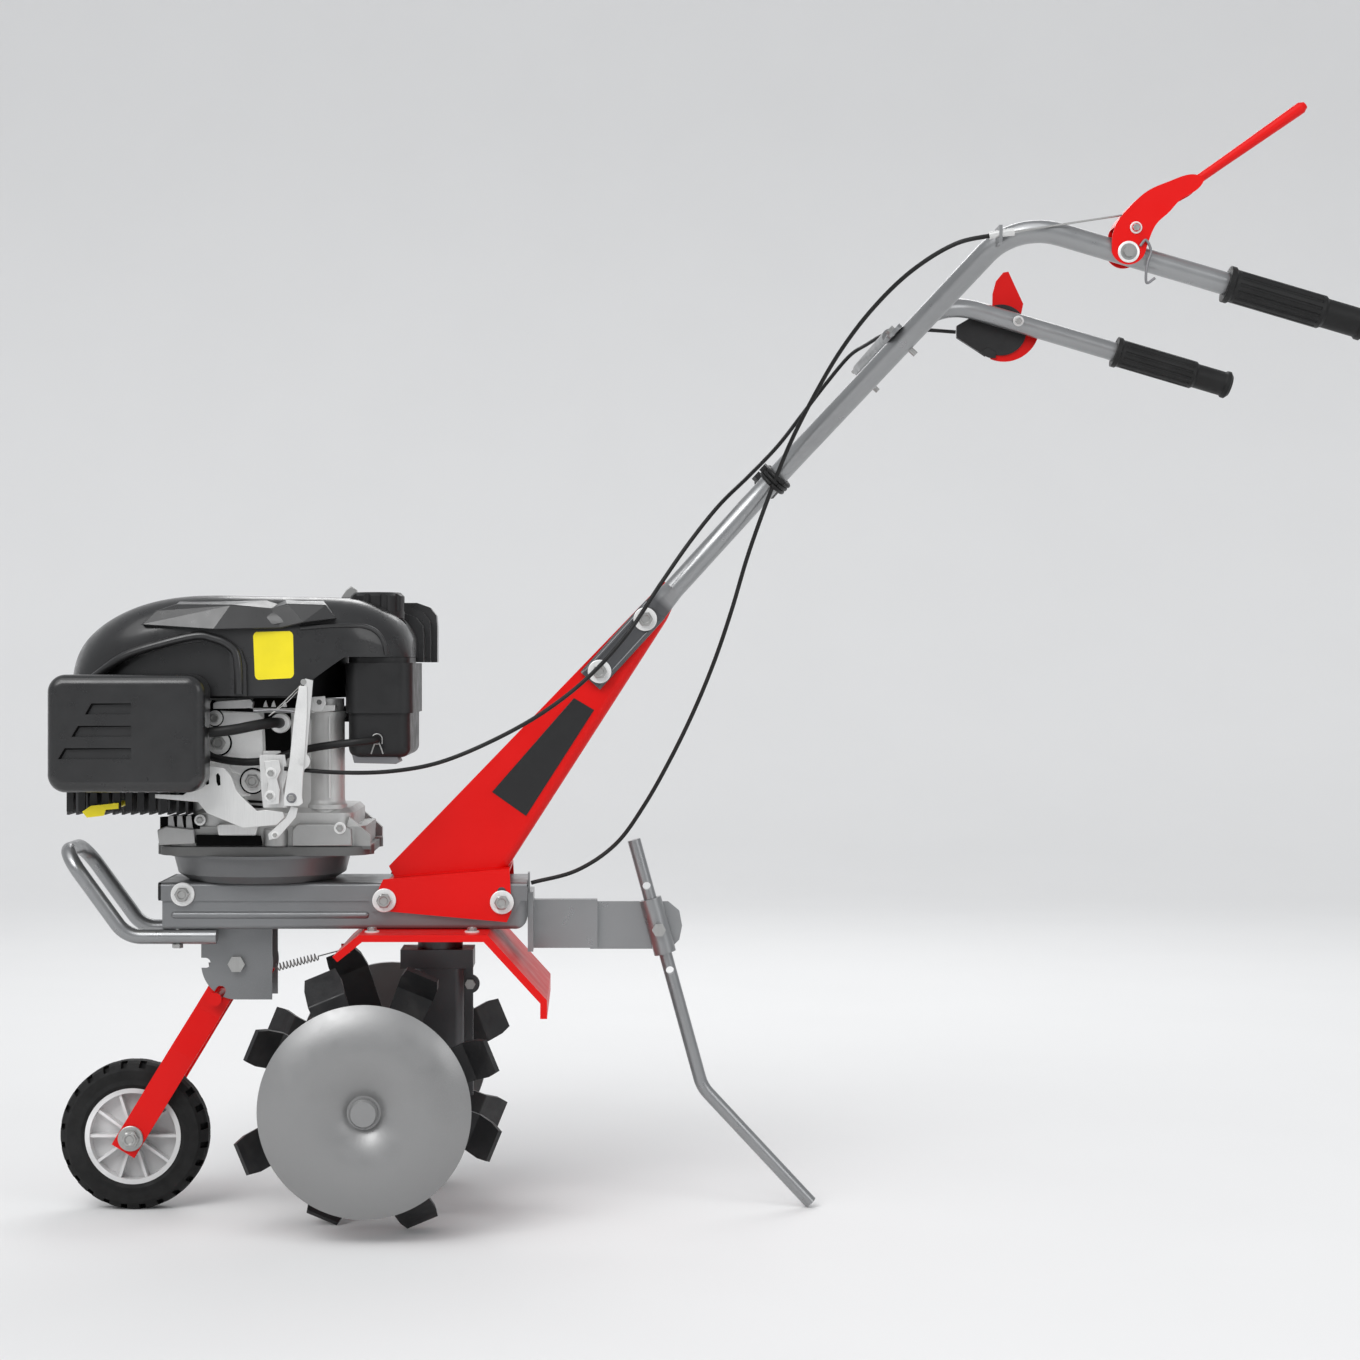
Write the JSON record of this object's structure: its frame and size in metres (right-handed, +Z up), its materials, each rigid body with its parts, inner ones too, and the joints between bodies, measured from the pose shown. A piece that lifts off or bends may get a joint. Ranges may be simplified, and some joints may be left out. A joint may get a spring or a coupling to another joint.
{
  "type": "garden tiller",
  "caption": "Walk-behind garden tiller: engine over a belt housing, worm-driven tine rotor with guard discs, swinging front wheel, drag stake and bent tube handles.",
  "frame": {"origin": "middle of the footprint on the ground", "axes": "+X to the rear, where the person walks; +Y to that person's right; +Z up"},
  "size_m": [1.319, 0.556, 1.1237],
  "materials": {
    "red_paint": "gloss",
    "grey_paint": "satin",
    "tine_paint": "satin",
    "zinc_steel": "satin",
    "cast_aluminium": "cast",
    "gear_iron": "machined",
    "gear_bronze": "machined",
    "black_plastic": "grained",
    "hub_plastic": "smooth",
    "red_plastic": "smooth",
    "tyre_rubber": "moulded",
    "black_rubber": "smooth"
  },
  "bodies": {
    "chassis": {"frame_upper": "grey_paint", "frame_lower": "grey_paint", "frame_end_cap": "black_plastic", "front_bumper": "grey_paint", "wheel_bracket": "grey_paint", "fender": "red_paint", "hitch": "grey_paint", "drag_stake": "grey_paint", "gear_neck": "grey_paint", "gear_case_left": "grey_paint", "gear_case_right": "grey_paint", "drive_belt": "black_rubber", "engine_pan": "grey_paint", "crankcase": "cast_aluminium", "cylinder": "cast_aluminium", "engine_shroud": "black_plastic", "fuel_tank": "black_plastic", "air_filter_base": "black_plastic", "air_filter_cover": "black_plastic", "muffler": "zinc_steel", "control_plate": "cast_aluminium", "breather_hose": "black_rubber", "fuel_hose": "black_rubber", "latch_spring": "zinc_steel", "chassis_bolts": "zinc_steel"},
    "tine_rotor": {"tine_axle": "zinc_steel", "worm_wheel": "gear_bronze", "tines_inner_left": "tine_paint", "tines_inner_right": "tine_paint", "tines_outer_left": "tine_paint", "tines_outer_right": "tine_paint", "guard_disc_left": "grey_paint", "guard_disc_right": "grey_paint"},
    "worm": {"worm_shaft": "gear_iron", "driven_pulley": "gear_iron"},
    "crank": {"crankshaft": "zinc_steel", "drive_pulley": "gear_iron"},
    "fork": {"wheel_fork": "red_paint", "wheel_axle": "zinc_steel"},
    "front_wheel": {"tyre": "tyre_rubber", "wheel_hub": "hub_plastic"},
    "latch": {"latch_pin": "zinc_steel"},
    "handle": {"column": "red_paint", "handle_tube_left": "grey_paint", "handle_tube_right": "grey_paint", "cross_brace": "grey_paint", "handle_bolts": "zinc_steel", "grip_left": "black_rubber", "grip_right": "black_rubber", "clutch_wire": "zinc_steel", "clutch_cable": "black_rubber", "throttle_cable": "black_rubber", "cable_ties": "black_plastic", "throttle_housing": "black_plastic"},
    "clutch": {"clutch_lever": "red_paint"},
    "idler": {"idler_arm": "zinc_steel"},
    "throttle": {"throttle_lever": "red_plastic"},
    "governor": {"governor_arm": "zinc_steel"},
    "choke": {"choke_lever": "black_plastic"},
    "filler_cap": {"fuel_cap": "black_plastic"}
  },
  "joints": [
    {"name": "tine_spin", "type": "hinge", "parent": "chassis", "child": "tine_rotor", "pos_m": [-0.31954, 0, 0.134], "axis": [0, 1, 0], "continuous": true},
    {"name": "worm_spin", "type": "hinge", "parent": "chassis", "child": "worm", "pos_m": [-0.25454, 0, 0.134], "axis": [0, 0, 1], "continuous": true},
    {"name": "crank_spin", "type": "hinge", "parent": "chassis", "child": "crank", "pos_m": [-0.44454, 0, 0.48], "axis": [0, 0, 1], "continuous": true},
    {"name": "wheel_fork_swing", "type": "hinge", "parent": "chassis", "child": "fork", "pos_m": [-0.46854, 0, 0.2634], "axis": [0, 1, 0], "range_deg": [0, 60], "deforming": ["latch_spring"]},
    {"name": "wheel_spin", "type": "hinge", "parent": "fork", "child": "front_wheel", "pos_m": [-0.58054, 0, 0.079], "axis": [0, 1, 0], "continuous": true},
    {"name": "latch_slide", "type": "slide", "parent": "fork", "child": "latch", "axis": [0.5191, 0, 0.8547], "range_m": [0, 0.01]},
    {"name": "handle_tilt", "type": "hinge", "parent": "chassis", "child": "handle", "pos_m": [-0.30954, 0, 0.334], "axis": [0, 1, 0], "range_deg": [0, 4.5], "deforming": ["clutch_cable", "throttle_cable"]},
    {"name": "clutch_squeeze", "type": "hinge", "parent": "handle", "child": "clutch", "pos_m": [0.42346, -0.26, 0.97672], "axis": [0, 1, 0], "range_deg": [0, 45], "stiffness_Nm_per_rad": 0.8, "springref_deg": -34.38, "deforming": ["clutch_wire"]},
    {"name": "idler_swing", "type": "hinge", "parent": "chassis", "child": "idler", "pos_m": [-0.36954, -0.01, 0.312], "axis": [0, 0, 1], "range_deg": [0, 20]},
    {"name": "throttle_turn", "type": "hinge", "parent": "handle", "child": "throttle", "pos_m": [0.39346, 0.2747, 0.98], "axis": [0, 1, 0], "range_deg": [-20, 30]},
    {"name": "governor_rock", "type": "hinge", "parent": "chassis", "child": "governor", "pos_m": [-0.38854, -0.1, 0.482], "axis": [0, 1, 0], "range_deg": [-8, 8], "stiffness_Nm_per_rad": 0.2},
    {"name": "choke_turn", "type": "hinge", "parent": "chassis", "child": "choke", "pos_m": [-0.57954, -0.1, 0.436], "axis": [0, 1, 0], "range_deg": [-25, 25]},
    {"name": "fuel_cap_turn", "type": "hinge", "parent": "chassis", "child": "filler_cap", "pos_m": [-0.31854, -0.04, 0.64], "axis": [0, 0, 1], "range_deg": [0, 90]}
  ],
  "couplings": [
    {"joint": "worm_spin", "follows": "tine_spin", "ratio": 24},
    {"joint": "idler_swing", "follows": "clutch_squeeze", "ratio": 0.44444}
  ]
}
